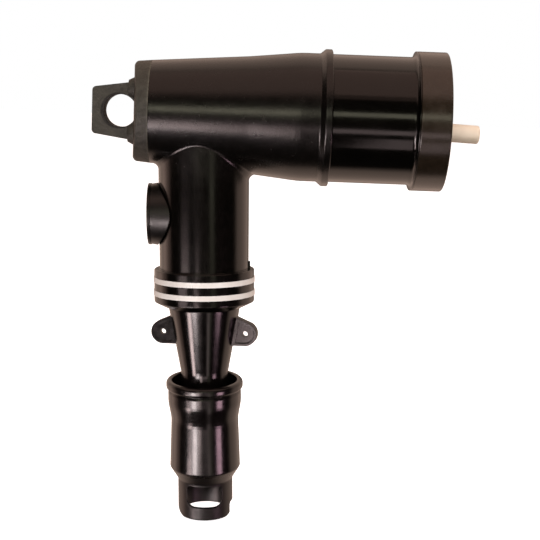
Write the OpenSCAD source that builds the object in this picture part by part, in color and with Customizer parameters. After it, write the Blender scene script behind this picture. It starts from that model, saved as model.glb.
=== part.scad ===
// Separable elbow connector: a moulded rubber elbow that pushes onto a bushing,
// with its cable adapter and a loose jacket seal below. Millimetres, +Z up.
// The origin is the centre of the mouth face, and +X points out of the mouth.

/* [Arm] */
// Distance from the leg axis to the mouth face
arm_reach = 143.8; // [135:0.1:160]
// Distance from the leg axis back to the outer face of the end cap
arm_back = 41.2; // [40:0.1:48]
// Shield diameter where it meets the end cap
arm_back_d = 61.3; // [60:0.1:65]
// Shield diameter at the start of the flare
arm_waist_d = 70; // [67:0.1:73]
// Distance from the leg axis to the start of the flare
arm_waist_at = 27.3; // [20:0.1:34]
// Shield diameter after the flare
arm_front_d = 76.4; // [75:0.1:79]
// Distance from the leg axis to the end of the flare
arm_flare_at = 57.3; // [50:0.1:62]
// Thickness of the conductive shield
shield_wall = 3; // [2:0.1:4]

/* [Bead] */
// How much lower the bead that ends the shield stands than the cuff
bead_below_cuff = 0.7; // [0.2:0.1:1.5]
// Distance from the leg axis to the start of the bead
bead_at = 68.6; // [66:0.1:74]
// Width of the bead
bead_w = 7; // [5.5:0.1:9]
// Length of the ramp that leads up to the bead
bead_ramp = 3; // [2:0.1:4]

/* [Mouth] */
// Diameter of the bare insulation between the bead and the cuff
sleeve_d = 76.2; // [75:0.1:79]
// Radius of the hollow where the bare insulation flares out to the cuff
sleeve_flare = 3; // [2:0.1:3.2]
// Thickness of the flange that the cuff stands against
flange_t = 0.8; // [0.6:0.1:2]
// Diameter of the mouth cuff
cuff_d = 83; // [82:0.1:88]
// Length of the mouth cuff
cuff_l = 18; // [15:0.1:24]
// Wall of the mouth cuff
cuff_wall = 3.6; // [3:0.1:4.5]
// Thickness of the lip that covers the end of the insulation
cuff_lip = 3; // [2:0.1:5]
// Diameter of the opening in the lip
mouth_d = 64; // [62:0.1:68]
// Diameter of the bushing socket behind the lip
socket_d = 60; // [56:0.1:61]
// Diameter of the bushing socket at its inner end
socket_end_d = 41; // [39:0.1:43]
// Distance from the leg axis to the inner end of the bushing socket
socket_at = 52; // [48:0.1:58]

/* [Leg] */
// Lean of the leg towards the mouth, in degrees
leg_lean = 2; // [0:0.1:4]
// Leg diameter at the arm axis
leg_top_d = 55; // [53:0.1:57]
// Leg diameter at the collar
leg_d = 54; // [52:0.1:55]
// Distance from the arm axis down to the collar
leg_l = 93.5; // [88:0.1:105]
// Diameter of the collar at the cable entrance
collar_d = 60.8; // [60:0.1:64]
// Height of the collar
collar_l = 19.8; // [18:0.1:24]
// Diameter where the bevelled underside of the collar ends
entry_d = 46; // [45:0.1:50]
// Height of the bevelled underside
entry_l = 3.7; // [2.5:0.1:6]
// Diameter of the adapter's seat at the entrance
seat_d = 42.4; // [41:0.1:42.8]
// Diameter of the adapter's seat at its inner end
seat_end_d = 33.2; // [32:0.1:35]
// Length of the adapter's seat
seat_l = 65; // [60:0.1:70]
// Depth of conductive shield left below the insulation inside the collar
entry_wall = 16; // [12:0.1:18]
// Radius of the hollow that fills the crease between the arm and the leg
crease_r = 4; // [2.5:0.1:4.4]
// Height of the moulding nub above the collar
nub_h = 4.4; // [3:0.1:6]
// Width of the moulding nub
nub_w = 2; // [1:0.1:3]
// How far the moulding nub stands out from the leg
nub_out = 1; // [0.6:0.1:1.4]

/* [Identification bands] */
// Diameter of each band
band_d = 61.6; // [61:0.1:65]
// Height of each band
band_h = 3.1; // [2:0.1:4.5]
// Distance between the middles of the bands
band_pitch = 7.9; // [7:0.1:9]
// Distance from the top of the collar to the middle of the first band
band_drop = 6.3; // [5:0.1:8]
// Depth of the groove that holds each band
band_groove = 1.2; // [0.8:0.1:1.6]

/* [Test point] */
// Distance from the arm axis down to the test point
test_drop = 60.3; // [57:0.1:66]
// Diameter of the boss that carries the cap
test_boss_d = 27; // [25:0.1:29]
// Distance from the leg axis to the end of the boss
test_boss_at = 29; // [28.5:0.1:30]
// Diameter of the insulating plug in the boss
test_plug_d = 19; // [17:0.1:21]
// Diameter of the terminal
test_pin_d = 9; // [7:0.1:11]
// Distance from the leg axis to the inner end of the terminal
test_pin_at = 21; // [20:0.1:22.5]
// Height of the terminal above the boss
test_pin_rise = 2.4; // [1:0.1:3]
// Diameter of the cap where it meets the leg
cap_d = 41.4; // [39:0.1:43]
// Diameter of the cap at its end
cap_end_d = 36.4; // [34:0.1:38]
// Distance from the leg axis to the start of the cap's taper
cap_taper_at = 17; // [14:0.1:18]
// Distance from the leg axis to the end of the cap
cap_at = 33.4; // [33:0.1:37]
// Width of the rim at the end of the cap
cap_rim = 1.8; // [1:0.1:2.5]
// How far the rim stands out from the cap
cap_rim_out = 0.4; // [0.2:0.1:0.8]
// Gap between the skirt of the cap and the leg
cap_joint = 0.8; // [0.4:0.1:1.2]

/* [Pulling eye] */
// Length of the end cap that carries the eye
end_cap_l = 10.2; // [9:0.1:13]
// Diameter of the end cap at its outer face
end_cap_d = 59.4; // [56:0.1:61]
// Slope of the outer face on both sides of the eye, in degrees
end_face_slope = 8; // [4:0.5:10]
// Reach of the eye from the end cap
eye_reach = 24.9; // [22:0.1:28]
// Height of the eye at its outer end
eye_end_h = 27.4; // [25:0.1:30]
// Height of the eye at the end cap
eye_root_h = 35; // [33:0.1:38]
// Thickness of the eye
eye_t = 12; // [10:0.1:15]
// Diameter of the hole in the eye
eye_hole_d = 19.4; // [18:0.1:20.4]
// Distance from the end cap to the middle of the hole
eye_hole_at = 8; // [7.8:0.1:9.4]
// Height of the collar round each limb of the eye
limb_collar_h = 13; // [11:0.1:14]
// Width of the collar round each limb of the eye
limb_collar_w = 21; // [18:0.1:24]
// Rise of the collar round each limb of the eye
limb_collar_rise = 3.4; // [2:0.1:4.5]
// Diameter of the steel rod inside the eye
eye_rod_d = 2.6; // [2:0.1:3.2]
// Bend radius of the rod
eye_rod_bend = 6; // [4.5:0.1:7]
// Depth of the ends of the rod in the end cap
eye_rod_anchor = 7; // [5:0.1:8]

/* [Insert and connector] */
// Diameter of the conductive insert in the arm
insert_d = 46; // [45:0.1:49]
// Distance from the leg axis to the back of the insert
insert_back = 18; // [16:0.1:21]
// Diameter of the conductive insert in the leg
insert_leg_d = 35; // [33.5:0.1:38]
// Diameter of the recess that takes the nose of the bushing
nose_d = 35; // [32:0.1:37]
// Distance from the leg axis to the floor of that recess
nose_at = 30; // [26:0.1:34]
// Diameter of the passage for the probe
passage_d = 17; // [15:0.1:20]
// Diameter of the compression connector
connector_d = 17.6; // [16:0.1:18.2]
// Rise of the connector above the arm axis
connector_rise = 11; // [9:0.1:13]
// Distance from the arm axis down to the barrel
barrel_at = 13; // [11.5:0.1:15]
// Length of the barrel
barrel_l = 49; // [42:0.1:55]
// Diameter of the conductor hole
conductor_d = 11.2; // [8:0.1:13]
// Depth of the conductor hole
conductor_l = 38; // [30:0.1:40]
// Thickness of the flat that takes the probe
palm_t = 13; // [11:0.1:15]
// Height of the round foot below that flat
palm_foot = 3; // [2:0.1:4]
// Clearance round the connector in the insert
connector_clearance = 0.3; // [0.1:0.05:0.5]

/* [Probe] */
// Droop of the probe below the arm axis, in degrees
probe_droop = 2.3; // [0:0.1:3]
// Diameter of the probe and of the arc follower
probe_d = 11; // [10:0.1:12]
// Diameter of the threaded end of the probe
probe_thread_d = 9.4; // [8:0.1:9.8]
// Distance from the leg axis to the end of the arc follower
probe_reach = 165.8; // [160:0.1:185]
// Length of the arc follower
follower_l = 48; // [40:0.1:60]
// Diameter of the spigot that joins the arc follower to the probe
follower_spigot_d = 6; // [4:0.1:7]
// Length of that spigot
follower_spigot_l = 10; // [6:0.1:14]
// Diameter of the wrench hole across the probe
wrench_hole_d = 4; // [3:0.1:5]
// Distance from the leg axis to the wrench hole
wrench_hole_at = 44; // [38:0.1:60]

/* [Cable adapter] */
// Diameter of the cone where it stops against the collar
cone_d = 43.6; // [43.5:0.1:45.5]
// Diameter of the cable tube below the cone
tube_d = 28.8; // [27.5:0.1:30]
// Length of the cone
cone_l = 40.7; // [37:0.1:46]
// Length of the cable tube
tube_l = 39; // [36:0.1:46]
// Diameter of the cable hole
cable_d = 19.4; // [19:0.1:20]
// How much the stress cone's hole is tighter than the cable hole
cable_grip = 0.4; // [0.2:0.1:0.6]
// Length of the stress cone along the seat
stress_l = 32; // [26:0.1:38]
// Depth of the deflector below the stress cone's rim
deflector_l = 20; // [14:0.1:24]
// Width of the ledge under the stress cone
deflector_ledge = 1; // [0.6:0.1:1.6]

/* [Drain wire ears] */
// Turn of the ears about the leg, in degrees
ear_turn = 10; // [-15:1:15]
// Distance from the leg axis to the hole in each ear
ear_hole_at = 25.6; // [24:0.1:29]
// Diameter of the hole in each ear
ear_hole_d = 3.4; // [3:0.1:5]
// Radius of the round end of each ear
ear_r = 7.3; // [6:0.1:8.5]
// Distance from the top of the cone down to the hole
ear_drop = 16.1; // [14:0.1:18]
// Distance from the top of the cone down to the web of each ear
ear_web_drop = 5.8; // [5:0.1:7]
// Thickness of each ear
ear_t = 6; // [5:0.1:8]
// Width of the raised border round each ear
ear_border = 1.7; // [1.2:0.1:2.4]
// Depth of the recess inside the border
ear_recess = 1; // [0.5:0.1:1.5]
// Distance from the leg axis to the straight side of the recess, beside the hole
ear_web_at = 20.8; // [20.4:0.1:21.6]

/* [Jacket seal] */
// Tilt of the loose seal sideways from the leg, in degrees
seal_tilt = 4.6; // [0:0.1:4.7]
// Distance from the end of the cable tube up to the sealing lip
seal_grip = 4; // [2:0.1:7]
// Length of the sealing lip
seal_lip_l = 8; // [5:0.1:10]
// Height of the rim above the middle of the sealing lip
seal_rise = 27.2; // [22:0.1:28]
// Diameter of the bead round the rim
rim_d = 47; // [46:0.1:50]
// Height of the bead round the rim
rim_h = 5; // [4:0.1:6.5]
// Wall of the rim
rim_wall = 3.5; // [3.2:0.1:4]
// Diameter of the groove under the rim
rim_groove_d = 43.3; // [42:0.1:43.4]
// Height of the groove under the rim
rim_groove_h = 2.3; // [1.8:0.1:3]
// Diameter of the shoulder under the rim
seal_shoulder_d = 44.8; // [43.5:0.1:46]
// Distance from the middle of the sealing lip up to the end of the shoulder
seal_shoulder_at = 13; // [11:0.1:15]
// Diameter of the waist
seal_waist_d = 41.2; // [40:0.1:42.5]
// Distance from the middle of the sealing lip up to the waist
seal_waist_at = 3; // [1:0.1:5]
// Diameter of the foot of the seal
seal_foot_d = 43.4; // [42:0.1:46]
// Distance from the middle of the sealing lip down to the foot
seal_foot_at = 28.2; // [25:0.1:34]
// Height of the bevel under the foot
seal_bevel_l = 7.8; // [6:0.1:11]
// Diameter of the tail
tail_d = 33.8; // [33:0.1:36]
// Length of the tail
tail_l = 23.2; // [20:0.1:24]
// Radius of the lower corners of the tail, seen from the front
tail_corner = 6.4; // [3:0.1:7.5]
// Wall of the seal
seal_wall = 2.3; // [1.8:0.1:2.8]
// Width of the window in the tail
window_w = 21.4; // [16:0.1:23]
// Height of the window in the tail
window_h = 13.8; // [10:0.1:14.5]
// Radius of the lower corners of the window
window_corner = 4.6; // [2.5:0.1:5]
// Width of the strap left below the window
strap_w = 8; // [5:0.1:8.6]
// Width of the notch in the side of the tail
notch_w = 14; // [8:0.1:16]
// Depth of the notch in the side of the tail
notch_h = 8.4; // [4:0.1:9]

/* [Hidden] */

$fn = 96;
// Largest turn of one facet on a rounded corner, in degrees
arc_step = 12;
// Length by which a cut runs past the face that it opens
past = 1;
// Stations round the crease, flats across its hollow, and how deep its edges sink
crease_stations = 96;
crease_flats = 6;
crease_sink = 0.06;

// Radii of the soft moulded edges
edge_fine = 0.4;
edge_small = 0.8;
edge_mid = 1.5;
edge_rim = 2.2;
edge_wide = 2.5;
// Radii of the long soft bends: two of the arm, one of the tube, one of the seal
blend_waist = 120;
blend_front = 60;
blend_tube = 18;
blend_seal = 18;

// Places along the arm, from the leg axis
shield_back = arm_back - end_cap_l;
bead_d = cuff_d - 2 * bead_below_cuff;
bead_end = bead_at + bead_w;
cuff_at = arm_reach - cuff_l;
cuff_seat_d = cuff_d - 2 * cuff_wall;
insulation_end = arm_reach - cuff_lip;
follower_at = probe_reach - follower_l;

// Places down the leg, from the arm axis
collar_end = leg_l + collar_l;
entry_end = collar_end + entry_l;
seat_end = entry_end - seat_l;
insulation_foot = entry_end - entry_wall;
band_upper_at = leg_l + band_drop;
band_lower_at = band_upper_at + band_pitch;
stress_end = seat_end + stress_l;
deflector_end = stress_end + deflector_l;
cone_end = entry_end + cone_l;
tube_end = cone_end + tube_l;
ear_at = entry_end + ear_drop;
seal_at = tube_end - seal_grip - seal_lip_l / 2;
barrel_end = barrel_at + barrel_l;

// Places down the seal, from the middle of its lip
seal_bevel_end = seal_foot_at + seal_bevel_l;
tail_end = seal_bevel_end + tail_l;
window_end = tail_end - strap_w;

// Sizes that follow from others
chamber_d = connector_d + 2 * connector_clearance;
stress_hole_d = cable_d - cable_grip;
flare_r = min(sleeve_flare, (cuff_d - sleeve_d) / 2 - 2 * edge_fine);
limb_at = (eye_root_h + eye_hole_d) / 4;
cone_slope = atan((cone_d - tube_d) / 2 / cone_l);
function seat_d_at(down) =
    seat_end_d + (seat_d - seat_end_d) * (down - seat_end) / seat_l;

function unit(v) = v / norm(v);
function xy(p) = [p[0], p[1]];

// Arc that rounds the corner b between its neighbours a and c
function corner_arc(a, b, c, fillet) =
    let (
        back = unit(a - b),
        ahead = unit(c - b),
        half_angle = acos(back * ahead) / 2,
        sweep = 180 - 2 * half_angle,
        steps = max(2, ceil(sweep / arc_step)),
        centre = b + unit(back + ahead) * fillet / sin(half_angle),
        start = b + back * fillet / tan(half_angle) - centre,
        turn = back[0] * ahead[1] - back[1] * ahead[0] > 0 ? -1 : 1
    )
    [
        for (i = [0 : steps])
            let (angle = turn * sweep * i / steps)
            centre + [
                start[0] * cos(angle) - start[1] * sin(angle),
                start[0] * sin(angle) + start[1] * cos(angle)
            ]
    ];

// Outline through corners given as [x, y, fillet radius]
function rounded(corners) =
    let (count = len(corners))
    [
        for (i = [0 : count - 1])
            let (
                before = xy(corners[(i + count - 1) % count]),
                here = xy(corners[i]),
                after = xy(corners[(i + 1) % count]),
                fillet = corners[i][2]
            )
            each fillet > 0 ? corner_arc(before, here, after, fillet) : [here]
    ];

// Solid of revolution whose corners are [diameter, height, fillet radius]
module turned(corners) {
    rotate_extrude()
        polygon(rounded([for (c = corners) [c[0] / 2, c[1], c[2]]]));
}

// Places with Z running along the arm, the leg, the test point and the probe
module at_elbow() {
    translate([-arm_reach, 0, 0]) children();
}

module along_arm() {
    at_elbow() rotate([0, 90, 0]) children();
}

module along_leg() {
    at_elbow() rotate([0, 180 - leg_lean, 0]) children();
}

module along_test_point() {
    along_leg() translate([0, 0, test_drop]) rotate([0, 90, 0]) children();
}

module along_probe() {
    at_elbow() rotate([0, 90 + probe_droop, 0]) children();
}

module along_seal() {
    along_leg() translate([0, 0, seal_at]) rotate([-seal_tilt, 0, 0]) children();
}

// Outer form of the leg, grown by a gap
module leg_form(gap = 0) {
    turned([
        [0, 0, 0],
        [leg_top_d + 2 * gap, 0, 0],
        [leg_d + 2 * gap, leg_l, 0],
        [leg_d + 2 * gap, leg_l + past, 0],
        [0, leg_l + past, 0]
    ]);
}

// Collar and bevelled underside at the cable entrance
module collar_form() {
    turned([
        [0, leg_l, 0],
        [collar_d, leg_l, edge_small],
        [collar_d, collar_end, edge_small],
        [entry_d, entry_end, edge_fine],
        [0, entry_end, 0]
    ]);
}

// Outer form of the shielded arm with its bead
module arm_form() {
    turned([
        [0, -shield_back, 0],
        [arm_back_d, -shield_back, 0],
        [arm_waist_d, arm_waist_at, blend_waist],
        [arm_front_d, arm_flare_at, blend_front],
        [arm_front_d, bead_at, edge_mid],
        [bead_d, bead_at + bead_ramp, edge_mid],
        [bead_d, bead_end, edge_small],
        [0, bead_end, 0]
    ]);
}

// Insulation in the arm: inside the shield, bare past the bead, then inside the cuff
module arm_insulation_form() {
    turned([
        [0, shield_wall - shield_back, 0],
        [arm_back_d - 2 * shield_wall, shield_wall - shield_back, edge_wide],
        [arm_waist_d - 2 * shield_wall, arm_waist_at, 0],
        [arm_front_d - 2 * shield_wall, arm_flare_at, 0],
        [arm_front_d - 2 * shield_wall, bead_end, 0],
        [sleeve_d, bead_end, 0],
        [sleeve_d, cuff_at - flange_t, flare_r],
        [cuff_d, cuff_at - flange_t, edge_fine],
        [cuff_d, cuff_at, 0],
        [cuff_seat_d, cuff_at, 0],
        [cuff_seat_d, insulation_end, 0],
        [0, insulation_end, 0]
    ]);
}

// Insulation in the leg, inside the shield
module leg_insulation_form() {
    turned([
        [0, 0, 0],
        [leg_top_d - 2 * shield_wall, 0, 0],
        [leg_d - 2 * shield_wall, insulation_foot, 0],
        [0, insulation_foot, 0]
    ]);
}

// Insulating plug in the test point boss
module test_plug_form(rise = 0) {
    cylinder(d = test_plug_d, h = test_boss_at + rise);
}

module insulation_form() {
    along_arm() arm_insulation_form();
    along_leg() leg_insulation_form();
    along_test_point() test_plug_form();
}

// Radius of the arm and of the leg beside the crease
function arm_r_at(along) =
    let (taper = (arm_waist_d - arm_back_d) / (arm_waist_at + shield_back))
    (arm_back_d + taper * (along + shield_back)) / 2;

function leg_r_at(down) =
    (leg_top_d + (leg_d - leg_top_d) * down / leg_l) / 2;

// Centre of a ball that touches the arm and the leg, found in a few tries
function ball_at(turn, down, tries) =
    let (
        clear = crease_r - crease_sink,
        out = leg_r_at(down) + clear,
        along = down * sin(leg_lean) - out * cos(turn) * cos(leg_lean),
        side = out * sin(turn),
        below = sqrt(pow(arm_r_at(along) + clear, 2) - pow(side, 2)),
        lower = (below - out * cos(turn) * sin(leg_lean)) / cos(leg_lean)
    )
    tries == 0 ? [along, side, -below] : ball_at(turn, lower, tries - 1);

// Outline of the filled crease at one turn: the hollow, then one point inside the wall
function crease_station(turn) =
    let (
        ball = ball_at(turn, arm_back_d / 2, 4),
        to_leg = [cos(turn) * cos(leg_lean), -sin(turn), cos(turn) * sin(leg_lean)],
        to_arm = unit([0, -ball[1], -ball[2]]),
        spread = acos(to_leg * to_arm),
        crease_far = crease_r / cos(spread / 2)
    )
    [
        for (i = [0 : crease_flats])
            let (angle = spread * i / crease_flats)
            ball + (to_leg * sin(spread - angle) + to_arm * sin(angle)) * crease_r / sin(spread),
        ball + unit(to_leg + to_arm) * (crease_far + past)
    ];

// Filling of the crease between the arm and the leg
module crease_filling() {
    ring = crease_flats + 2;
    stations = [for (i = [0 : crease_stations - 1]) crease_station(360 * i / crease_stations)];
    function corner(i, j) = (i % crease_stations) * ring + j % ring;
    polyhedron(
        points = [for (station = stations) each station],
        faces = [
            for (i = [0 : crease_stations - 1], j = [0 : ring - 1])
                [corner(i, j), corner(i + 1, j), corner(i + 1, j + 1), corner(i, j + 1)]
        ]
    );
}

// Nub that the mould leaves on the mouth side of the leg, above the collar
module moulding_nub() {
    translate([-leg_d / 2 - nub_out, -nub_w / 2, leg_l - nub_h])
        cube([nub_out + past, nub_w, nub_h + past]);
}

// Tapered hole that takes the cable adapter
module seat_form() {
    turned([
        [0, seat_end - past, 0],
        [seat_end_d, seat_end - past, 0],
        [seat_end_d, seat_end, 0],
        [seat_d, entry_end, 0],
        [seat_d, entry_end + past, 0],
        [0, entry_end + past, 0]
    ]);
}

// Tapered hole that takes the bushing
module socket_form() {
    turned([
        [0, socket_at - past, 0],
        [socket_end_d, socket_at - past, 0],
        [socket_end_d, socket_at, 0],
        [socket_d, insulation_end, 0],
        [socket_d, insulation_end + past, 0],
        [0, insulation_end + past, 0]
    ]);
}

// Outer form of the conductive insert
module insert_form() {
    along_arm()
        turned([
            [0, -insert_back, 0],
            [insert_d, -insert_back, edge_wide],
            [insert_d, socket_at, 0],
            [0, socket_at, 0]
        ]);
    along_leg() cylinder(d = insert_leg_d, h = seat_end);
}

// Ring of an identification band, centred on its own height
module band_ring(outer_d) {
    difference() {
        cylinder(d = outer_d, h = band_h, center = true);
        cylinder(d = collar_d - 2 * band_groove, h = band_h + 2 * past, center = true);
    }
}

module elbow_shield() {
    color("#1b1a19") difference() {
        union() {
            along_arm() arm_form();
            along_leg() leg_form();
            along_leg() collar_form();
            along_leg() moulding_nub();
            at_elbow() crease_filling();
            along_test_point() cylinder(d = test_boss_d, h = test_boss_at);
        }
        insulation_form();
        along_test_point() test_plug_form(past);
        along_leg() seat_form();
        for (at = [band_upper_at, band_lower_at])
            along_leg() translate([0, 0, at]) band_ring(collar_d + 2 * past);
    }
}

module insulation_body() {
    color("#0e0d0d") difference() {
        insulation_form();
        insert_form();
        along_leg() seat_form();
        along_arm() socket_form();
        along_test_point() terminal_form();
    }
}

module conductive_insert() {
    color("#232221") difference() {
        insert_form();
        along_arm() translate([0, 0, nose_at])
            cylinder(d = nose_d, h = socket_at - nose_at + past);
        along_arm() cylinder(d = passage_d, h = nose_at + past);
        along_leg() translate([0, 0, -connector_rise - connector_clearance])
            cylinder(d = chamber_d, h = seat_end + connector_rise + past);
    }
}

module mouth_cuff() {
    color("#2b2724") along_arm()
        turned([
            [cuff_seat_d, cuff_at, 0],
            [cuff_d, cuff_at, edge_small],
            [cuff_d, arm_reach, edge_small],
            [mouth_d, arm_reach, edge_small],
            [mouth_d, insulation_end, 0],
            [cuff_seat_d, insulation_end, 0]
        ]);
}

// Oval collar where a limb of the eye leaves the end cap
module limb_collar() {
    hull() for (side = [-1, 1])
        translate([0, side * (limb_collar_w - limb_collar_h) / 2, 0]) {
            translate([0, 0, -past]) cylinder(d = limb_collar_h, h = past, $fn = 32);
            cylinder(
                d1 = limb_collar_h,
                d2 = limb_collar_h - limb_collar_rise,
                h = limb_collar_rise,
                $fn = 32
            );
        }
}

// Waste above the sloped sides of the end cap's outer face
module end_face_waste() {
    for (side = [0, 1]) mirror([0, side, 0])
        translate([0, eye_t / 2 + edge_small, 0])
            rotate([0, 0, -end_face_slope])
                translate([-end_cap_d, 0, -end_cap_d]) cube([end_cap_d, end_cap_d, 2 * end_cap_d]);
}

// End cap behind the eye
module end_cap_form() {
    difference() {
        along_arm()
            turned([
                [0, -arm_back, 0],
                [end_cap_d, -arm_back, edge_wide],
                [arm_back_d, -shield_back, 0],
                [0, -shield_back, 0]
            ]);
        at_end_cap() end_face_waste();
    }
}

// Tapered plate of the eye, rounded at its outer corners
module eye_plate() {
    rotate([90, 0, 0])
        linear_extrude(eye_t, center = true)
            polygon(rounded([
                [past, -eye_root_h / 2, 0],
                [past, eye_root_h / 2, 0],
                [-eye_reach, eye_end_h / 2, edge_wide],
                [-eye_reach, -eye_end_h / 2, edge_wide]
            ]));
}

// Hole through the eye, with a flat side on the end cap
module eye_hole() {
    cut = limb_collar_w + 2 * past;
    rotate([90, 0, 0]) intersection() {
        translate([-eye_hole_at, 0, 0]) cylinder(d = eye_hole_d, h = cut, center = true);
        translate([-eye_reach, -eye_reach, -cut / 2]) cube([eye_reach, 2 * eye_reach, cut]);
    }
}

// Steel rod bent round the hole, with both ends in the end cap
module eye_rod_form() {
    half_span = (eye_end_h + eye_hole_d) / 4;
    outer = (eye_hole_at + eye_hole_d / 2 + eye_reach) / 2;
    bend_at = outer - eye_rod_bend;
    for (side = [-1, 1]) {
        translate([-bend_at, 0, side * half_span])
            rotate([0, 90, 0]) cylinder(d = eye_rod_d, h = bend_at + eye_rod_anchor);
        translate([-bend_at, 0, side * (half_span - eye_rod_bend)])
            rotate([90, 0, 0])
                rotate([0, 0, side > 0 ? 90 : 180])
                    rotate_extrude(angle = 90)
                        translate([eye_rod_bend, 0]) circle(d = eye_rod_d);
    }
    translate([-outer, 0, eye_rod_bend - half_span])
        cylinder(d = eye_rod_d, h = 2 * (half_span - eye_rod_bend));
}

module at_end_cap() {
    at_elbow() translate([-arm_back, 0, 0]) children();
}

module pulling_eye() {
    color("#3d3c38") difference() {
        union() {
            end_cap_form();
            at_end_cap() eye_plate();
            at_end_cap() for (side = [-1, 1])
                translate([0, 0, side * limb_at]) rotate([0, -90, 0]) limb_collar();
        }
        at_end_cap() eye_hole();
        at_end_cap() eye_rod_form();
    }
}

module eye_rod() {
    color("#b8bab8") at_end_cap() eye_rod_form();
}

// Terminal that stands out of the insulating plug
module terminal_form() {
    translate([0, 0, test_pin_at])
        cylinder(d = test_pin_d, h = test_boss_at + test_pin_rise - test_pin_at);
}

module test_point_terminal() {
    color("#8f8f8c") along_test_point() terminal_form();
}

module test_point_cap() {
    color("#161514") difference() {
        along_test_point()
            turned([
                [0, 0, 0],
                [cap_d, 0, 0],
                [cap_d, cap_taper_at, 0],
                [cap_end_d, cap_at - cap_rim, 0],
                [cap_end_d + 2 * cap_rim_out, cap_at - cap_rim, 0],
                [cap_end_d + 2 * cap_rim_out, cap_at, edge_fine],
                [0, cap_at, 0]
            ]);
        along_leg() leg_form(cap_joint);
        along_test_point() cylinder(d = test_boss_d, h = test_boss_at);
        along_test_point() terminal_form();
    }
}

module identification_band(at) {
    color("#e8dfd4") along_leg() translate([0, 0, at]) band_ring(band_d);
}

module identification_band_upper() {
    identification_band(band_upper_at);
}

module identification_band_lower() {
    identification_band(band_lower_at);
}

module connector_palm() {
    span = 2 * (connector_rise + barrel_at);
    color("#b87348") difference() {
        union() {
            intersection() {
                along_leg() translate([0, 0, -connector_rise])
                    cylinder(d = connector_d, h = connector_rise + barrel_at);
                along_probe() cube([span, span, palm_t], center = true);
            }
            along_leg() translate([0, 0, barrel_at - palm_foot])
                cylinder(d = connector_d, h = palm_foot);
        }
        along_probe() cylinder(d = probe_thread_d, h = palm_t + 2 * past, center = true);
    }
}

module connector_barrel() {
    color("#c9cacb") along_leg() difference() {
        translate([0, 0, barrel_at]) cylinder(d = connector_d, h = barrel_l);
        translate([0, 0, barrel_end - conductor_l])
            cylinder(d = conductor_d, h = conductor_l + past);
    }
}

module contact_probe() {
    color("#b9b4a6") along_probe() difference() {
        union() {
            translate([0, 0, -palm_t / 2]) cylinder(d = probe_thread_d, h = palm_t + past);
            translate([0, 0, palm_t / 2]) cylinder(d = probe_d, h = follower_at - palm_t / 2);
        }
        translate([0, 0, follower_at - follower_spigot_l])
            cylinder(d = follower_spigot_d, h = follower_spigot_l + past);
        translate([0, 0, wrench_hole_at])
            rotate([90, 0, 0])
                cylinder(d = wrench_hole_d, h = probe_d + 2 * past, center = true);
    }
}

module arc_follower() {
    color("#ddd3bd") along_probe()
        turned([
            [0, follower_at - follower_spigot_l, 0],
            [follower_spigot_d, follower_at - follower_spigot_l, 0],
            [follower_spigot_d, follower_at, 0],
            [probe_d, follower_at, 0],
            [probe_d, probe_reach, edge_mid],
            [0, probe_reach, 0]
        ]);
}

// Outline of an ear, drawn with X outwards and Y down the leg
module ear_outline(inset = 0) {
    root = tube_d / 2;
    top = ear_web_drop - ear_drop;
    hull() {
        translate([ear_hole_at, 0]) circle(r = ear_r - inset, $fn = 32);
        translate([root, top + inset])
            square([cone_d / 2 - ear_border - root, ear_r - top - 2 * inset]);
    }
}

// One ear with a raised border on both faces, its inner side along the cone
module ear() {
    rotate([90, 0, 0]) difference() {
        linear_extrude(ear_t, center = true) ear_outline();
        for (side = [-1, 1])
            translate([0, 0, side * ear_t / 2]) intersection() {
                linear_extrude(2 * ear_recess, center = true) ear_outline(ear_border);
                translate([ear_web_at, 0, 0]) rotate([0, 0, cone_slope])
                    translate([0, -ear_drop, -ear_t])
                        cube([ear_hole_at, 2 * ear_drop, 2 * ear_t]);
            }
    }
}

// Stress cone with its deflector below, as a solid plug
module stress_cone_form() {
    turned([
        [0, seat_end, 0],
        [seat_end_d, seat_end, 0],
        [seat_d_at(stress_end), stress_end, 0],
        [cable_d + 2 * deflector_ledge, deflector_end, 0],
        [0, deflector_end, 0]
    ]);
}

module cable_adapter() {
    color("#191716") along_leg() difference() {
        union() {
            turned([
                [0, stress_end, 0],
                [seat_d_at(stress_end), stress_end, 0],
                [seat_d, entry_end, 0],
                [cone_d, entry_end, edge_fine],
                [tube_d, cone_end, blend_tube],
                [tube_d, tube_end, edge_small],
                [0, tube_end, 0]
            ]);
            translate([0, 0, ear_at]) rotate([0, 0, ear_turn])
                for (side = [0, 180]) rotate([0, 0, side]) ear();
        }
        stress_cone_form();
        translate([0, 0, stress_end]) cylinder(d = cable_d, h = tube_end - stress_end + past);
        translate([0, 0, ear_at]) rotate([0, 0, ear_turn])
            for (side = [-1, 1]) translate([side * ear_hole_at, 0, 0])
                rotate([90, 0, 0])
                    cylinder(d = ear_hole_d, h = ear_t + 2 * past, center = true);
    }
}

module stress_cone() {
    color("#5b5148") along_leg() difference() {
        stress_cone_form();
        translate([0, 0, seat_end - past])
            cylinder(d = stress_hole_d, h = stress_l + deflector_l + 2 * past);
    }
}

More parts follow.
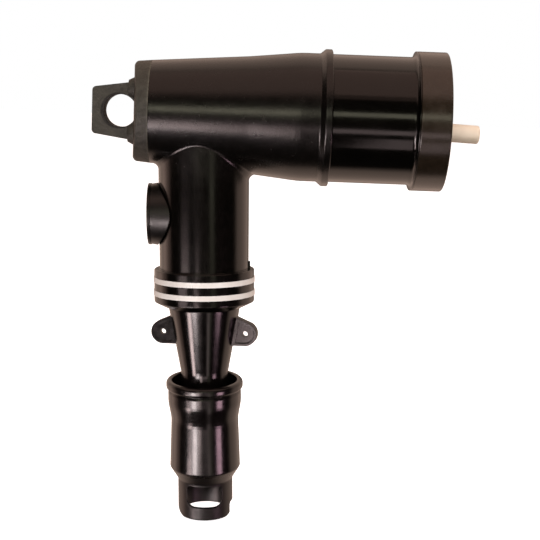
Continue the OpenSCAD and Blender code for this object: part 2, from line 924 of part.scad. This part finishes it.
// Seal outline down its outside and back up its inside
module seal_form() {
    inner_waist_d = seal_waist_d - 2 * seal_wall;
    inner_tail_d = tail_d - 2 * seal_wall;
    lip_d = tube_d - 2 * past;
    rim_top = -seal_rise;
    rim_foot = rim_top + rim_h;
    turned([
        [rim_d - 2 * rim_wall, rim_top, edge_small],
        [rim_d, rim_top, edge_rim],
        [rim_d, rim_foot, edge_mid],
        [rim_groove_d, rim_foot + edge_small, edge_fine],
        [seal_shoulder_d, rim_foot + rim_groove_h, edge_wide],
        [seal_shoulder_d, -seal_shoulder_at, blend_seal],
        [seal_waist_d, -seal_waist_at, blend_seal],
        [seal_foot_d, seal_foot_at, edge_mid],
        [tail_d, seal_bevel_end, edge_wide],
        [tail_d, tail_end, edge_small],
        [inner_tail_d, tail_end, 0],
        [inner_tail_d, seal_bevel_end, edge_mid],
        [inner_waist_d, seal_foot_at, edge_mid],
        [inner_waist_d, seal_lip_l / 2, 0],
        [lip_d, seal_lip_l / 2, 0],
        [lip_d, -seal_lip_l / 2, 0],
        [inner_waist_d, -seal_lip_l / 2, 0]
    ]);
}

// Rounded window through the front wall of the tail
module window_form() {
    rotate([90, 0, 0])
        linear_extrude(tail_d)
            polygon(rounded([
                [-window_w / 2, window_end - window_h, edge_wide],
                [window_w / 2, window_end - window_h, edge_wide],
                [window_w / 2, window_end, window_corner],
                [-window_w / 2, window_end, window_corner]
            ]));
}

// Waste outside the rounded lower corners of the tail
module tail_corner_waste() {
    corner_x = tail_d / 2 + edge_fine - tail_corner;
    corner_z = tail_end - tail_corner;
    for (side = [0, 1]) mirror([side, 0, 0]) difference() {
        translate([corner_x, -tail_d, corner_z])
            cube([2 * tail_corner, 2 * tail_d, 2 * tail_corner]);
        translate([corner_x, 0, corner_z])
            rotate([90, 0, 0])
                cylinder(r = tail_corner, h = 2 * tail_d + 2 * past, center = true);
    }
}

module jacket_seal() {
    color("#171415") difference() {
        along_seal() seal_form();
        along_seal() window_form();
        along_seal() tail_corner_waste();
        along_seal() translate([-tail_d, -notch_w / 2, tail_end - notch_h])
            cube([tail_d, notch_w, notch_h + past]);
        along_leg() cylinder(d = tube_d, h = tube_end);
    }
}

elbow_shield();
insulation_body();
conductive_insert();
mouth_cuff();
pulling_eye();
eye_rod();
test_point_terminal();
test_point_cap();
identification_band_upper();
identification_band_lower();
connector_palm();
connector_barrel();
contact_probe();
arc_follower();
cable_adapter();
stress_cone();
jacket_seal();
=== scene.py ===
"""Studio scene of a separable elbow connector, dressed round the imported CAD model."""
import math

import bpy
from mathutils import Matrix, Vector


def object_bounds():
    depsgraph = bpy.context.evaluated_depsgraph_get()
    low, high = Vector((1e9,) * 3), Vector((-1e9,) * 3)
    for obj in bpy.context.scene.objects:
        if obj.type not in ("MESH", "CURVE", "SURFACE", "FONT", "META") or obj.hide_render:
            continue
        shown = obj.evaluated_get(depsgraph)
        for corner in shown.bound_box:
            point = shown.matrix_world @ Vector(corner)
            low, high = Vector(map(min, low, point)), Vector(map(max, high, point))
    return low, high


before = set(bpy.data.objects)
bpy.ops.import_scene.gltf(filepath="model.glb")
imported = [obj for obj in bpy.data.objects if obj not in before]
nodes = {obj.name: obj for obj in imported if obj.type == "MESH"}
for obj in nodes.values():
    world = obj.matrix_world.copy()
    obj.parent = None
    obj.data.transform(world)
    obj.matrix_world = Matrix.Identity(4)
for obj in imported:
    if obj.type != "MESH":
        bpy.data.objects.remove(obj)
cad_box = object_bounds()

# Camera that repeats the photo's view
PHOTO_SIDE = 540
FOCAL_PIXELS = 1300.0
SENSOR = 36.0
CAMERA_AT = Vector((-0.108924, -0.784728, 0.013995))
CAMERA_YAW = math.radians(0.617)
CAMERA_PITCH = math.radians(7.771)
CAMERA_ROLL = math.radians(-2.176)
CLIP_START = 0.01
CLIP_END = 50.0


def add_camera():
    """Camera that looks along Y, turned by the yaw, tipped down by the pitch and then rolled."""
    sin_yaw, cos_yaw = math.sin(CAMERA_YAW), math.cos(CAMERA_YAW)
    sin_pitch, cos_pitch = math.sin(CAMERA_PITCH), math.cos(CAMERA_PITCH)
    sin_roll, cos_roll = math.sin(CAMERA_ROLL), math.cos(CAMERA_ROLL)
    level_right = Vector((cos_yaw, -sin_yaw, 0.0))
    level_up = Vector((sin_yaw * sin_pitch, cos_yaw * sin_pitch, cos_pitch))
    forward = Vector((sin_yaw * cos_pitch, cos_yaw * cos_pitch, -sin_pitch))
    right = level_right * cos_roll - level_up * sin_roll
    up = level_right * sin_roll + level_up * cos_roll
    data = bpy.data.cameras.new("photo_camera")
    data.sensor_fit = "HORIZONTAL"
    data.sensor_width = SENSOR
    data.lens = SENSOR * FOCAL_PIXELS / PHOTO_SIDE
    data.clip_start = CLIP_START
    data.clip_end = CLIP_END
    camera = bpy.data.objects.new("photo_camera", data)
    turn = Matrix((right, up, -forward)).transposed().to_4x4()
    camera.matrix_world = Matrix.Translation(CAMERA_AT) @ turn
    bpy.context.collection.objects.link(camera)
    bpy.context.scene.camera = camera


# Node helpers
WHITE = (1.0, 1.0, 1.0)
# Most of a noise texture's values lie between these two
NOISE_LOW = 0.3
NOISE_HIGH = 0.7


def opaque(colour):
    return (*colour, 1.0)


def add_node(tree, kind, **values):
    made = tree.nodes.new(kind)
    for name, value in values.items():
        setattr(made, name, value)
    return made


def set_inputs(made, **values):
    """Sets sockets by their names, with an underscore for each space."""
    for name, value in values.items():
        made.inputs[name.replace("_", " ")].default_value = value


def stretched(tree, stretch):
    """Places in the part's own frame, scaled along the three axes."""
    coordinates = add_node(tree, "ShaderNodeTexCoord")
    mapping = add_node(tree, "ShaderNodeMapping")
    set_inputs(mapping, Scale=stretch)
    tree.links.new(coordinates.outputs["Object"], mapping.inputs["Vector"])
    return mapping.outputs["Vector"]


def along(tree, place, axis):
    """One coordinate of a place."""
    axes = add_node(tree, "ShaderNodeSeparateXYZ")
    tree.links.new(place, axes.inputs["Vector"])
    return axes.outputs[axis]


def noise(tree, place, scale, detail=3.0, roughness=0.55, distortion=0.0):
    made = add_node(tree, "ShaderNodeTexNoise")
    set_inputs(made, Scale=scale, Detail=detail, Roughness=roughness, Distortion=distortion)
    tree.links.new(place, made.inputs["Vector"])
    return made.outputs["Fac"]


def spread(tree, factor, low, high, start=NOISE_LOW, end=NOISE_HIGH):
    """A number that goes from low to high as the factor goes from start to end."""
    made = add_node(tree, "ShaderNodeMapRange")
    set_inputs(made, From_Min=start, From_Max=end, To_Min=low, To_Max=high)
    tree.links.new(factor, made.inputs["Value"])
    return made.outputs["Result"]


def tint(tree, factor, dark, light):
    """A colour that goes from dark to light over the range of a noise."""
    made = add_node(tree, "ShaderNodeValToRGB")
    first, last = made.color_ramp.elements
    first.position = NOISE_LOW
    first.color = opaque(dark)
    last.position = NOISE_HIGH
    last.color = opaque(light)
    tree.links.new(factor, made.inputs["Fac"])
    return made.outputs["Color"]


def combined(tree, operation, first, second):
    made = add_node(tree, "ShaderNodeMath", operation=operation)
    tree.links.new(first, made.inputs[0])
    tree.links.new(second, made.inputs[1])
    return made.outputs["Value"]


def bumped(tree, height, depth, below=None):
    """Normals bumped by a height of the given depth in metres, on top of the normals below."""
    made = add_node(tree, "ShaderNodeBump")
    set_inputs(made, Strength=1.0, Distance=depth)
    tree.links.new(height, made.inputs["Height"])
    if below is not None:
        tree.links.new(below, made.inputs["Normal"])
    return made.outputs["Normal"]


EDGE_RADIUS = 0.0006
EDGE_SAMPLES = 6


def rounded(tree):
    """Normals that turn softly over edges, because moulded rubber has none that are sharp."""
    made = add_node(tree, "ShaderNodeBevel", samples=EDGE_SAMPLES)
    set_inputs(made, Radius=EDGE_RADIUS)
    return made.outputs["Normal"]


def new_material(name):
    """A fresh material, with its node tree and its shader."""
    made = bpy.data.materials.new(name)
    made.use_nodes = True
    tree = made.node_tree
    return made, tree, tree.nodes["Principled BSDF"]


# How a pattern is stretched: its lines run along the arm or the leg, or it is even
ALONG_ARM = (0.05, 1.0, 1.0)
ALONG_LEG = (1.0, 1.0, 0.05)
EVEN = (1.0, 1.0, 1.0)

# Rubber
MOTTLING = {"detail": 5.0, "roughness": 0.6, "distortion": 0.6}
RUBBER_GRAIN = {"scale": 900.0, "detail": 2.0}
WAVES = {"scale": 70.0, "detail": 1.0, "roughness": 0.4}


def rubber(
    name, dark, light, gloss, blotch=60.0, grain_depth=0.00004, wave_depth=0.00012,
    specular=0.5, dulled=None,
):
    """Moulded rubber: mottled colour, uneven gloss, fine grain and slight waves. Blotch is the scale
    of the mottling. With dulled it gets duller between two heights, by the third value."""
    made, tree, shader = new_material(name)
    place = stretched(tree, EVEN)
    mottling = noise(tree, place, blotch, **MOTTLING)
    grain = noise(tree, place, **RUBBER_GRAIN)
    waves = noise(tree, place, **WAVES)
    tree.links.new(tint(tree, mottling, dark, light), shader.inputs["Base Color"])
    roughness = spread(tree, mottling, *gloss)
    if dulled is not None:
        start, end, extra = dulled
        added = spread(tree, along(tree, place, "Z"), 0.0, extra, start, end)
        roughness = combined(tree, "ADD", roughness, added)
    tree.links.new(roughness, shader.inputs["Roughness"])
    wavy = bumped(tree, waves, wave_depth, rounded(tree))
    tree.links.new(bumped(tree, grain, grain_depth, wavy), shader.inputs["Normal"])
    set_inputs(shader, Specular_IOR_Level=specular)
    return made


# End cap with the pulling eye
STAINS = {"scale": 150.0, "detail": 6.0, "roughness": 0.65, "distortion": 0.8}
LUMPS = {"scale": 260.0, "detail": 2.0, "roughness": 0.5, "distortion": 0.4}
LUMP_DEPTH = 0.0005
PITS = {"scale": 900.0, "detail": 2.0}
PIT_DEPTH = 0.0002
# Painted shade round the hole, standing in for the hole's shaded wall. It is deepest on the outer side
# of the hole, so its circle is set off from the hole's axis
HOLE_SHADE_CENTRE = (-0.1943, 0.0, 0.0)
HOLE_SHADE_RADIUS = 0.0104
HOLE_SHADE_FADE = 0.0004
HOLE_SHADE_LEVEL = 0.12
ALL_THROUGH_EYE = (1.0, 0.0, 1.0)
# Painted highlight: the rim that meets the arm is painted lighter
CAP_RIM_X = -0.1749
RIM_WIDTH = 0.0009
RIM_HIGHLIGHT_GAIN = 2.4


def painted_hole_shade(tree, place):
    """Factor that paints shade in a ring round the hole, all through the eye, in place of the hole's
    shaded wall.
    """
    flat = add_node(tree, "ShaderNodeVectorMath", operation="MULTIPLY")
    flat.inputs[1].default_value = ALL_THROUGH_EYE
    tree.links.new(place, flat.inputs[0])
    away = add_node(tree, "ShaderNodeVectorMath", operation="DISTANCE")
    away.inputs[1].default_value = HOLE_SHADE_CENTRE
    tree.links.new(flat.outputs["Vector"], away.inputs[0])
    edge = HOLE_SHADE_RADIUS + HOLE_SHADE_FADE
    return spread(tree, away.outputs["Value"], HOLE_SHADE_LEVEL, 1.0, HOLE_SHADE_RADIUS, edge)


def eye_rubber(name, dark, light, gloss):
    """Roughly moulded rubber: lumps, pits, stains, painted shade round the hole and a painted highlight
    on the rim.
    """
    made, tree, shader = new_material(name)
    place = stretched(tree, EVEN)
    stains = noise(tree, place, **STAINS)
    lumps = noise(tree, place, **LUMPS)
    pits = noise(tree, place, **PITS)
    # Painted highlight: the colour is lightened along the rim that meets the arm
    painted_rim_highlight = spread(tree, along(tree, place, "X"), 1.0, RIM_HIGHLIGHT_GAIN, CAP_RIM_X - RIM_WIDTH, CAP_RIM_X)
    shaded = add_node(tree, "ShaderNodeVectorMath", operation="SCALE")
    tree.links.new(tint(tree, stains, dark, light), shaded.inputs["Vector"])
    # The painted shade round the hole and the painted rim highlight scale the stain colour
    tree.links.new(combined(tree, "MULTIPLY", painted_hole_shade(tree, place), painted_rim_highlight), shaded.inputs["Scale"])
    tree.links.new(shaded.outputs["Vector"], shader.inputs["Base Color"])
    tree.links.new(spread(tree, stains, *gloss), shader.inputs["Roughness"])
    lumpy = bumped(tree, lumps, LUMP_DEPTH, rounded(tree))
    tree.links.new(bumped(tree, pits, PIT_DEPTH, lumpy), shader.inputs["Normal"])
    return made


# Plastic
CLOUDS = {"scale": 90.0, "detail": 4.0, "roughness": 0.6, "distortion": 0.3}
PLASTIC_GRAIN = {"scale": 700.0, "detail": 2.0}
PLASTIC_GRAIN_DEPTH = 0.00003


def plastic(name, dark, light, gloss):
    """Moulded plastic: faint clouds of colour and a fine grain."""
    made, tree, shader = new_material(name)
    place = stretched(tree, EVEN)
    clouds = noise(tree, place, **CLOUDS)
    grain = noise(tree, place, **PLASTIC_GRAIN)
    tree.links.new(tint(tree, clouds, dark, light), shader.inputs["Base Color"])
    tree.links.new(spread(tree, clouds, *gloss), shader.inputs["Roughness"])
    tree.links.new(bumped(tree, grain, PLASTIC_GRAIN_DEPTH), shader.inputs["Normal"])
    return made


# Metal
TOOL_LINES = {"scale": 500.0, "detail": 3.0}
TOOL_LINE_DEPTH = 0.00002
TARNISH = {"scale": 120.0, "detail": 4.0, "roughness": 0.6, "distortion": 0.5}


def metal(name, dark, light, gloss, stretch):
    """Drawn or turned metal: fine tool lines, tarnish and uneven gloss."""
    made, tree, shader = new_material(name)
    set_inputs(shader, Metallic=1.0)
    lines = noise(tree, stretched(tree, stretch), **TOOL_LINES)
    tarnish = noise(tree, stretched(tree, EVEN), **TARNISH)
    tree.links.new(tint(tree, tarnish, dark, light), shader.inputs["Base Color"])
    tree.links.new(spread(tree, lines, *gloss), shader.inputs["Roughness"])
    tree.links.new(bumped(tree, lines, TOOL_LINE_DEPTH), shader.inputs["Normal"])
    return made


# Material of each node. The shield is duller up on its arm, and the seal down on its tail
ARM_DULLED = (-0.045, -0.030, 0.08)
TAIL_DULLED = (-0.216, -0.226, 0.20)

materials = {
    "elbow_shield": rubber(
        "shield_rubber",
        dark=(0.0010, 0.0008, 0.0006),
        light=(0.0020, 0.0015, 0.0012),
        gloss=(0.14, 0.20),
        blotch=240.0,
        wave_depth=0.00006,
        dulled=ARM_DULLED,
    ),
    "insulation_body": rubber(
        "insulation_rubber",
        dark=(0.0009, 0.0007, 0.0005),
        light=(0.0015, 0.0012, 0.0009),
        gloss=(0.10, 0.15),
        grain_depth=0.00001,
        wave_depth=0.00002,
    ),
    "conductive_insert": rubber(
        "insert_rubber",
        dark=(0.010, 0.009, 0.008),
        light=(0.016, 0.014, 0.012),
        gloss=(0.45, 0.60),
    ),
    "mouth_cuff": rubber(
        "cuff_rubber",
        dark=(0.0112, 0.0072, 0.0042),
        light=(0.0168, 0.0109, 0.0067),
        gloss=(0.17, 0.23),
        blotch=200.0,
        grain_depth=0.00003,
        wave_depth=0.00004,
        specular=0.7,
    ),
    "pulling_eye": eye_rubber(
        "eye_rubber",
        dark=(0.0100, 0.0090, 0.0064),
        light=(0.0360, 0.0325, 0.0235),
        gloss=(0.50, 0.70),
    ),
    "test_point_cap": rubber(
        "cap_rubber",
        dark=(0.0011, 0.0009, 0.0007),
        light=(0.0022, 0.0017, 0.0014),
        gloss=(0.30, 0.40),
    ),
    "cable_adapter": rubber(
        "adapter_rubber",
        dark=(0.0011, 0.0008, 0.0007),
        light=(0.0021, 0.0015, 0.0014),
        gloss=(0.14, 0.19),
        blotch=200.0,
        grain_depth=0.000012,
        wave_depth=0.00005,
    ),
    "stress_cone": rubber(
        "stress_rubber",
        dark=(0.085, 0.066, 0.050),
        light=(0.125, 0.098, 0.078),
        gloss=(0.40, 0.55),
    ),
    "jacket_seal": rubber(
        "seal_rubber",
        dark=(0.0014, 0.0009, 0.0009),
        light=(0.0028, 0.0019, 0.0018),
        gloss=(0.17, 0.22),
        blotch=200.0,
        grain_depth=0.000015,
        wave_depth=0.00007,
        dulled=TAIL_DULLED,
    ),
    "identification_band_upper": plastic(
        "band_plastic",
        dark=(0.70, 0.65, 0.62),
        light=(0.77, 0.73, 0.71),
        gloss=(0.40, 0.55),
    ),
    "arc_follower": plastic(
        "follower_plastic",
        dark=(0.70, 0.57, 0.44),
        light=(0.78, 0.66, 0.53),
        gloss=(0.32, 0.45),
    ),
    "eye_rod": metal(
        "rod_steel",
        dark=(0.40, 0.40, 0.39),
        light=(0.54, 0.55, 0.54),
        gloss=(0.28, 0.42),
        stretch=EVEN,
    ),
    "test_point_terminal": metal(
        "terminal_metal",
        dark=(0.24, 0.24, 0.23),
        light=(0.32, 0.32, 0.31),
        gloss=(0.30, 0.45),
        stretch=EVEN,
    ),
    "connector_palm": metal(
        "palm_copper",
        dark=(0.40, 0.13, 0.05),
        light=(0.56, 0.21, 0.09),
        gloss=(0.28, 0.45),
        stretch=ALONG_LEG,
    ),
    "connector_barrel": metal(
        "barrel_aluminium",
        dark=(0.50, 0.51, 0.52),
        light=(0.66, 0.67, 0.68),
        gloss=(0.28, 0.42),
        stretch=ALONG_LEG,
    ),
    "contact_probe": metal(
        "probe_copper",
        dark=(0.42, 0.39, 0.32),
        light=(0.56, 0.53, 0.45),
        gloss=(0.24, 0.38),
        stretch=ALONG_ARM,
    ),
}
materials["identification_band_lower"] = materials["identification_band_upper"]


def dress_nodes():
    for name, material in materials.items():
        slots = nodes[name].data.materials
        if slots:
            slots[0] = material
        else:
            slots.append(material)


# Floor
FLOOR_GAP = 0.001
FLOOR_HALF = 12.0
FLOOR_SHADE = (0.9, 0.9, 0.9)
FLOOR_ROUGHNESS = 0.9
FLOOR_GLOW = 0.9


def floor_paper():
    """Matt white paper that glows, so that it stays white all over."""
    made, _, shader = new_material("floor_paper")
    set_inputs(
        shader,
        Base_Color=opaque(FLOOR_SHADE),
        Roughness=FLOOR_ROUGHNESS,
        Specular_IOR_Level=0.0,
        Emission_Color=opaque(WHITE),
        Emission_Strength=FLOOR_GLOW,
    )
    return made


def add_floor():
    """Plain floor just under the part. It isn't mirrored in the part, and doesn't light or shade it."""
    low = cad_box[0][2] - FLOOR_GAP
    signs = ((-1, -1), (1, -1), (1, 1), (-1, 1))
    corners = [(x * FLOOR_HALF, y * FLOOR_HALF, low) for x, y in signs]
    mesh = bpy.data.meshes.new("floor")
    mesh.from_pydata(corners, [], [(0, 1, 2, 3)])
    mesh.materials.append(floor_paper())
    floor = bpy.data.objects.new("floor", mesh)
    bpy.context.collection.objects.link(floor)
    floor.visible_glossy = False
    floor.visible_diffuse = False
    floor.visible_shadow = False


# Room: its shade at each step from sideways, 0, to straight behind the part, 1
BEHIND = (0.13, 0.992, 0.0)
ROOM_SHADES = (
    (0.06, (0.010, 0.009, 0.009)),
    (0.28, (0.90, 0.66, 0.54)),
    (0.88, (0.90, 0.66, 0.54)),
    (0.98, (0.22, 0.17, 0.14)),
)


def room_colour(tree):
    """Colour of the room in each direction."""
    coordinates = add_node(tree, "ShaderNodeTexCoord")
    behind = add_node(tree, "ShaderNodeVectorMath", operation="DOT_PRODUCT")
    behind.inputs[1].default_value = BEHIND
    tree.links.new(coordinates.outputs["Generated"], behind.inputs[0])
    shades = add_node(tree, "ShaderNodeValToRGB")
    elements = shades.color_ramp.elements
    while len(elements) < len(ROOM_SHADES):
        elements.new(1.0)
    for element, (place, shade) in zip(elements, ROOM_SHADES):
        element.position = place
        element.color = opaque(shade)
    tree.links.new(behind.outputs["Value"], shades.inputs["Fac"])
    return shades.outputs["Color"]


def add_world():
    """White to the camera; to the object, dark behind the camera and light behind the part."""
    world = bpy.data.worlds.new("studio")
    bpy.context.scene.world = world
    world.use_nodes = True
    tree = world.node_tree
    room = tree.nodes["Background"]
    tree.links.new(room_colour(tree), room.inputs["Color"])
    backdrop = add_node(tree, "ShaderNodeBackground")
    set_inputs(backdrop, Color=opaque(WHITE))
    rays = add_node(tree, "ShaderNodeLightPath")
    mix = add_node(tree, "ShaderNodeMixShader")
    tree.links.new(rays.outputs["Is Camera Ray"], mix.inputs["Fac"])
    tree.links.new(room.outputs["Background"], mix.inputs[1])
    tree.links.new(backdrop.outputs["Background"], mix.inputs[2])
    tree.links.new(mix.outputs["Shader"], tree.nodes["World Output"].inputs["Surface"])


# Places on the part from which the lights are laid out
MIDDLE = Vector((-0.094, 0.0, -0.104))
ARM = Vector((-0.150, 0.0, 0.0))
CUFF = Vector((-0.010, 0.0, 0.0))
LEG = Vector((-0.142, 0.0, -0.085))
CONE = Vector((-0.140, 0.0, -0.145))
SEAL = Vector((-0.139, 0.0, -0.200))

# Distances of the lights. Of two in line, one is a little nearer, so that they don't share a plane
FAR = 2.5
NEAR = 0.9
NEARER = 0.95 * NEAR

# Colours of the lights
WARM = (1.0, 0.66, 0.55)
GREENISH = (1.0, 0.95, 0.71)
PINKISH = (1.0, 0.78, 0.76)
PALE = (1.0, 0.86, 0.85)
PURPLE = (1.0, 0.62, 0.74)
CREAM = (1.0, 0.97, 0.94)


def softbox(
    name, seen_from, distance, direction, half_spread, radiance, colour, mirrored=True, lights=False,
):
    """Area light placed as seen from a spot on the part. Its direction is the azimuth to the right of
    the camera and the elevation, and half its spread is given in both, all in degrees. It is mirrored,
    lights matt surfaces, or both."""
    azimuth, elevation = (math.radians(angle) for angle in direction)
    level = math.cos(elevation)
    towards = Vector((math.sin(azimuth) * level, -math.cos(azimuth) * level, math.sin(elevation)))
    width, height = (2.0 * distance * math.tan(math.radians(angle)) for angle in half_spread)
    data = bpy.data.lights.new(name, "AREA")
    data.shape = "RECTANGLE"
    data.size = width
    data.size_y = height
    data.energy = radiance * math.pi * width * height
    data.color = colour
    lamp = bpy.data.objects.new(name, data)
    lamp.location = seen_from + towards * distance
    lamp.rotation_euler = towards.to_track_quat("Z", "Y").to_euler()
    lamp.visible_camera = False
    lamp.visible_glossy = mirrored
    lamp.visible_diffuse = lights
    bpy.context.collection.objects.link(lamp)


def add_room_lights():
    """Sheen on the upper and the left sides."""
    softbox(
        "overhead", MIDDLE, FAR, direction=(0.0, 71.0), half_spread=(50.0, 26.0),
        radiance=0.75, colour=WARM, lights=True,
    )
    softbox(
        "overhead_edge", MIDDLE, FAR, direction=(0.0, 41.5), half_spread=(50.0, 3.5),
        radiance=0.28, colour=WARM,
    )
    softbox(
        "left_back", MIDDLE, FAR, direction=(-109.0, -10.0), half_spread=(16.0, 30.0),
        radiance=0.6, colour=WARM,
    )


def add_arm_lights():
    """Two streaks along the arm, the upper one greenish and the lower one pinkish, with a tall faint
    light between them that the upright pieces mirror."""
    softbox(
        "front_upper_left", ARM, FAR, direction=(-13.0, 8.0), half_spread=(10.0, 4.0),
        radiance=4.0, colour=GREENISH,
    )
    softbox(
        "front_upper_right", ARM, FAR, direction=(9.0, 9.0), half_spread=(9.0, 3.6),
        radiance=1.8, colour=GREENISH,
    )
    softbox(
        "front_lower_left", ARM, NEAR, direction=(-12.0, -26.0), half_spread=(5.0, 8.5),
        radiance=3.2, colour=PINKISH,
    )
    softbox(
        "front_lower_left_end", ARM, NEARER, direction=(-15.0, -25.0), half_spread=(2.8, 8.0),
        radiance=5.5, colour=PINKISH,
    )
    softbox(
        "front_far_right", MIDDLE, FAR, direction=(22.0, -12.0), half_spread=(6.0, 22.0),
        radiance=0.3, colour=GREENISH,
    )
    softbox(
        "front_lower_right", ARM, FAR, direction=(7.0, -20.5), half_spread=(9.0, 3.6),
        radiance=1.6, colour=PINKISH,
    )


def add_leg_lights():
    """A faint streak down the middle of the leg, and one low on its left."""
    softbox(
        "leg_streak", LEG, FAR, direction=(22.0, 7.0), half_spread=(4.5, 11.0),
        radiance=0.40, colour=GREENISH,
    )
    softbox(
        "leg_side", LEG, NEAR, direction=(-47.0, -11.8), half_spread=(10.0, 2.6),
        radiance=3.6, colour=PINKISH,
    )


def add_seal_lights():
    """Bright streaks down the left and the right of the cone and the seal."""
    softbox(
        "seal_window", SEAL, NEARER, direction=(-31.0, -20.0), half_spread=(7.0, 5.5),
        radiance=18.0, colour=PALE,
    )
    softbox(
        "seal_window_edge", SEAL, NEAR, direction=(-31.0, -20.0), half_spread=(15.0, 5.5),
        radiance=4.5, colour=PALE,
    )
    softbox(
        "cone_window", CONE, NEAR, direction=(-51.0, -30.5), half_spread=(6.0, 5.0),
        radiance=18.0, colour=PINKISH,
    )
    softbox(
        "right_window", SEAL, NEAR, direction=(51.0, -17.0), half_spread=(8.0, 4.0),
        radiance=11.0, colour=PURPLE,
    )


def add_cuff_light():
    """A faint band low on the cuff."""
    softbox(
        "cuff_low", CUFF, NEAR, direction=(8.0, -41.0), half_spread=(4.0, 9.0),
        radiance=1.2, colour=PINKISH,
    )


def add_fill_light():
    """Soft light on the pale and matt surfaces. The glossy ones don't mirror it."""
    softbox(
        "fill", MIDDLE, FAR, direction=(0.0, 24.0), half_spread=(42.0, 42.0),
        radiance=2.5, colour=CREAM, mirrored=False, lights=True,
    )


dress_nodes()
add_camera()
add_floor()
add_world()
add_room_lights()
add_arm_lights()
add_leg_lights()
add_seal_lights()
add_cuff_light()
add_fill_light()
bpy.context.scene.view_settings.view_transform = "Standard"
